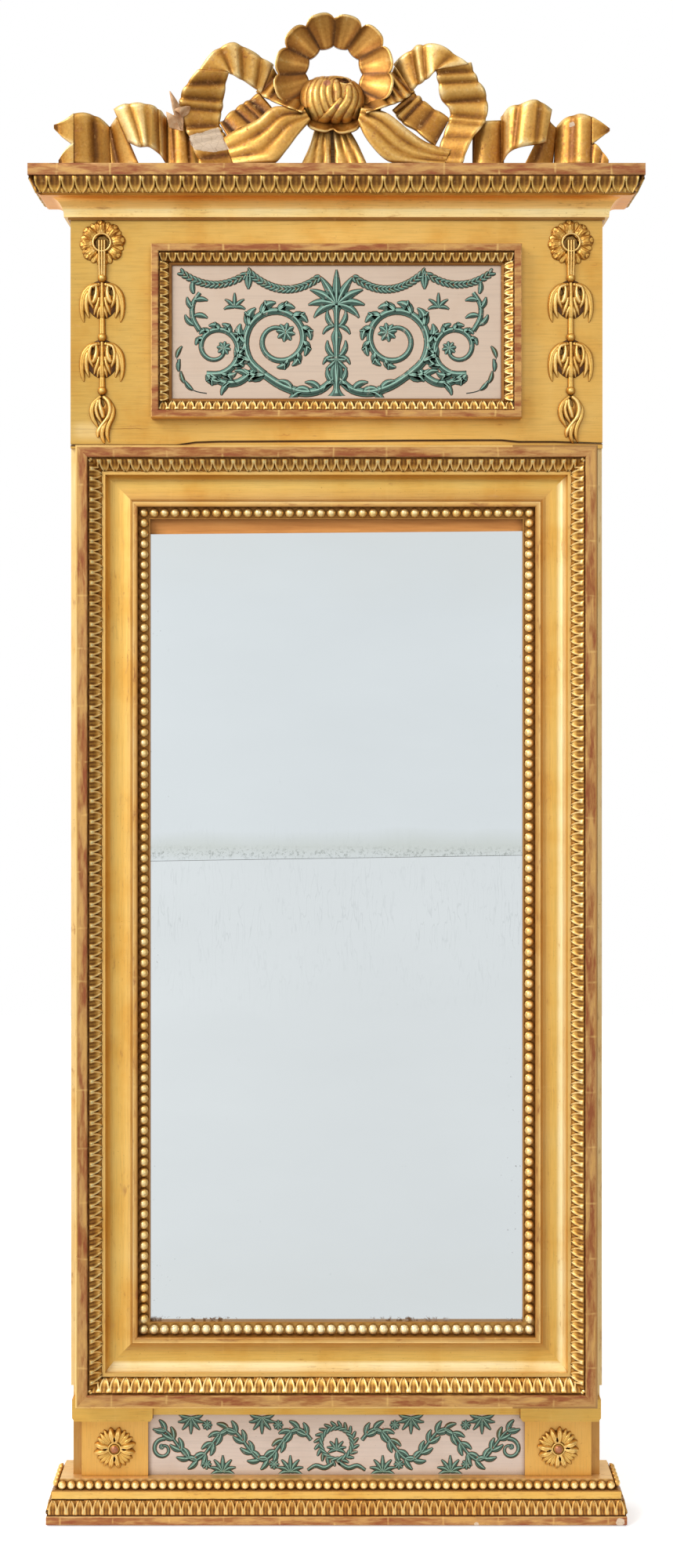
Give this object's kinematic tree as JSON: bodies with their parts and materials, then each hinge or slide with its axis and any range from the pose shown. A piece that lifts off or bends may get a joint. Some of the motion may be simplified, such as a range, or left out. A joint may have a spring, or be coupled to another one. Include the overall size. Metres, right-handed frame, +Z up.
{
  "type": "wall mirror",
  "caption": "Tall giltwood wall mirror: moulded frame, two stacked mirror plates, painted panels above and below, cornice, pedestal base, carved bow cresting and an iron hanging ring.",
  "frame": {"origin": "middle of the lower back edge of the carcase, on the wall plane at the height of the base's foot", "axes": "+X to the right seen from the front, +Y into the wall, +Z up"},
  "size_m": [0.525, 0.071, 1.2917],
  "materials": {
    "gilding": "water gilding on red bole over gesso, matt on the flats and burnished on the high points, worn",
    "pine": "planed and oxidised, unfinished",
    "mirror_plate": "old silvered plate with foxing",
    "painted_panel": "oil paint on gesso, aged varnish",
    "iron": "forged and darkened"
  },
  "bodies": {
    "mirror": {"side_stile_left": "pine", "side_stile_right": "pine", "top_rail": "pine", "middle_rail": "pine", "bottom_rail": "pine", "base_front": "gilding", "base_return_left": "gilding", "base_return_right": "gilding", "base_beads": "gilding", "base_leaves": "gilding", "fascia_board": "gilding", "cornice_front": "gilding", "cornice_return_left": "gilding", "cornice_return_right": "gilding", "cornice_leaves": "gilding", "cornice_top_board": "gilding", "frame_head": "gilding", "frame_foot": "gilding", "frame_stile_left": "gilding", "frame_stile_right": "gilding", "frame_leaves_head": "gilding", "frame_leaves_foot": "gilding", "frame_leaves_left": "gilding", "frame_leaves_right": "gilding", "frame_beads_head": "gilding", "frame_beads_foot": "gilding", "frame_beads_left": "gilding", "frame_beads_right": "gilding", "glass_upper": "mirror_plate", "glass_lower": "mirror_plate", "glass_slips": "pine", "backboard_upper": "pine", "backboard_lower": "pine", "back_nails": "iron", "picture_frame_head": "gilding", "picture_frame_foot": "gilding", "picture_frame_left": "gilding", "picture_frame_right": "gilding", "picture_leaves": "gilding", "upper_picture_panel": "painted_panel", "lower_picture_panel": "painted_panel", "lower_picture_fillet": "gilding", "pedestal_block_left": "gilding", "pedestal_block_right": "gilding", "pedestal_cap_left": "gilding", "pedestal_cap_right": "gilding", "pedestal_rosette_left": "gilding", "pedestal_rosette_right": "gilding", "husk_drop_left": "gilding", "husk_drop_right": "gilding", "ribbon_rosette": "gilding", "bow_knot": "gilding", "bow_loop_left": "gilding", "bow_loop_right": "gilding", "ribbon_tail_left": "gilding", "ribbon_tail_right": "gilding", "knot_tails": "gilding", "cresting_batten": "pine", "hanger_plate": "iron"},
    "ring": {"hanging_ring": "iron"}
  },
  "joints": [
    {"name": "ring_swing", "type": "hinge", "parent": "mirror", "child": "ring", "pos_m": [0, -0.006, 1.113], "axis": [1, 0, 0], "range_deg": [0, 170]}
  ]
}
